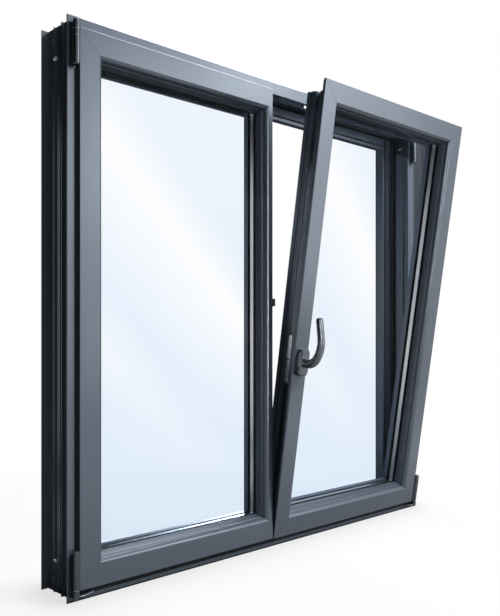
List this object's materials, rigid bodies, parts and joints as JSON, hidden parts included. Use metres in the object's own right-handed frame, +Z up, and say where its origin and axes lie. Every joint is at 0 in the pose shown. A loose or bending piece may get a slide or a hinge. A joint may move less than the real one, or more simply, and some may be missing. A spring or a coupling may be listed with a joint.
{
  "type": "tilt and turn window",
  "caption": "Anthracite aluminium tilt and turn window: a side hung sash and a sash tilted in at the top, in a deep flanged frame, with insulating glass and a lever handle",
  "frame": {"origin": "middle of the sill's outside face, on the plane of the frame's outside face", "axes": "+X to the right seen from the room, +Y out of the building, +Z up"},
  "size_m": [1.2, 0.2946, 1.175],
  "materials": {
    "powder_coat": "satin anthracite powder coat",
    "glass": "clear float glass",
    "seal_rubber": "matt black seal",
    "spacer_aluminium": "mill finish spacer bar",
    "break_plastic": "black insulating strip",
    "hardware_coat": "satin dark hinge coating",
    "handle_coat": "satin anthracite handle coating",
    "black_plastic": "moulded black plastic",
    "zinc_steel": "bright zinc plated steel"
  },
  "bodies": {
    "window": {"bottom_hinge_frame_bracket": "hardware_coat", "bottom_hinge_sash_barrel": "hardware_coat", "corner_hinge_frame_bracket": "hardware_coat", "corner_hinge_sash_barrel": "hardware_coat", "drive_rod": "hardware_coat", "frame_centre_seal": "seal_rubber", "frame_keepers": "zinc_steel", "frame_stop_seal": "seal_rubber", "frame_thermal_strips": "break_plastic", "handle_rosette": "handle_coat", "head": "powder_coat", "left_jamb": "powder_coat", "lock_faceplate": "zinc_steel", "meeting_post": "powder_coat", "meeting_post_caps": "black_plastic", "meeting_post_keeper": "black_plastic", "right_jamb": "powder_coat", "sash_thermal_strips": "break_plastic", "sill": "powder_coat", "stay_arm": "zinc_steel", "stay_bearing": "hardware_coat", "stay_guide": "zinc_steel", "tilt_sash_beads": "powder_coat", "tilt_sash_bottom_rail": "powder_coat", "tilt_sash_glazing_seals": "seal_rubber", "tilt_sash_hinge_stile": "powder_coat", "tilt_sash_inner_pane": "glass", "tilt_sash_lock_stile": "powder_coat", "tilt_sash_outer_pane": "glass", "tilt_sash_spacer": "spacer_aluminium", "tilt_sash_top_rail": "powder_coat", "tilt_sash_wing_seal": "seal_rubber", "top_hinge_frame_leaf": "hardware_coat", "top_hinge_sash_knuckle": "hardware_coat", "turn_sash_beads": "powder_coat", "turn_sash_bottom_rail": "powder_coat", "turn_sash_glazing_seals": "seal_rubber", "turn_sash_hinge_stile": "powder_coat", "turn_sash_inner_pane": "glass", "turn_sash_meeting_stile": "powder_coat", "turn_sash_outer_pane": "glass", "turn_sash_spacer": "spacer_aluminium", "turn_sash_top_rail": "powder_coat", "turn_sash_wing_seal": "seal_rubber"},
    "handle": {"handle_lever": "handle_coat"}
  },
  "joints": [
    {"name": "handle_turn", "type": "hinge", "parent": "window", "child": "handle", "pos_m": [-0.0035, -0.19695, 0.43658], "axis": [0, 0.9882, 0.153], "range_deg": [0, 180]}
  ]
}
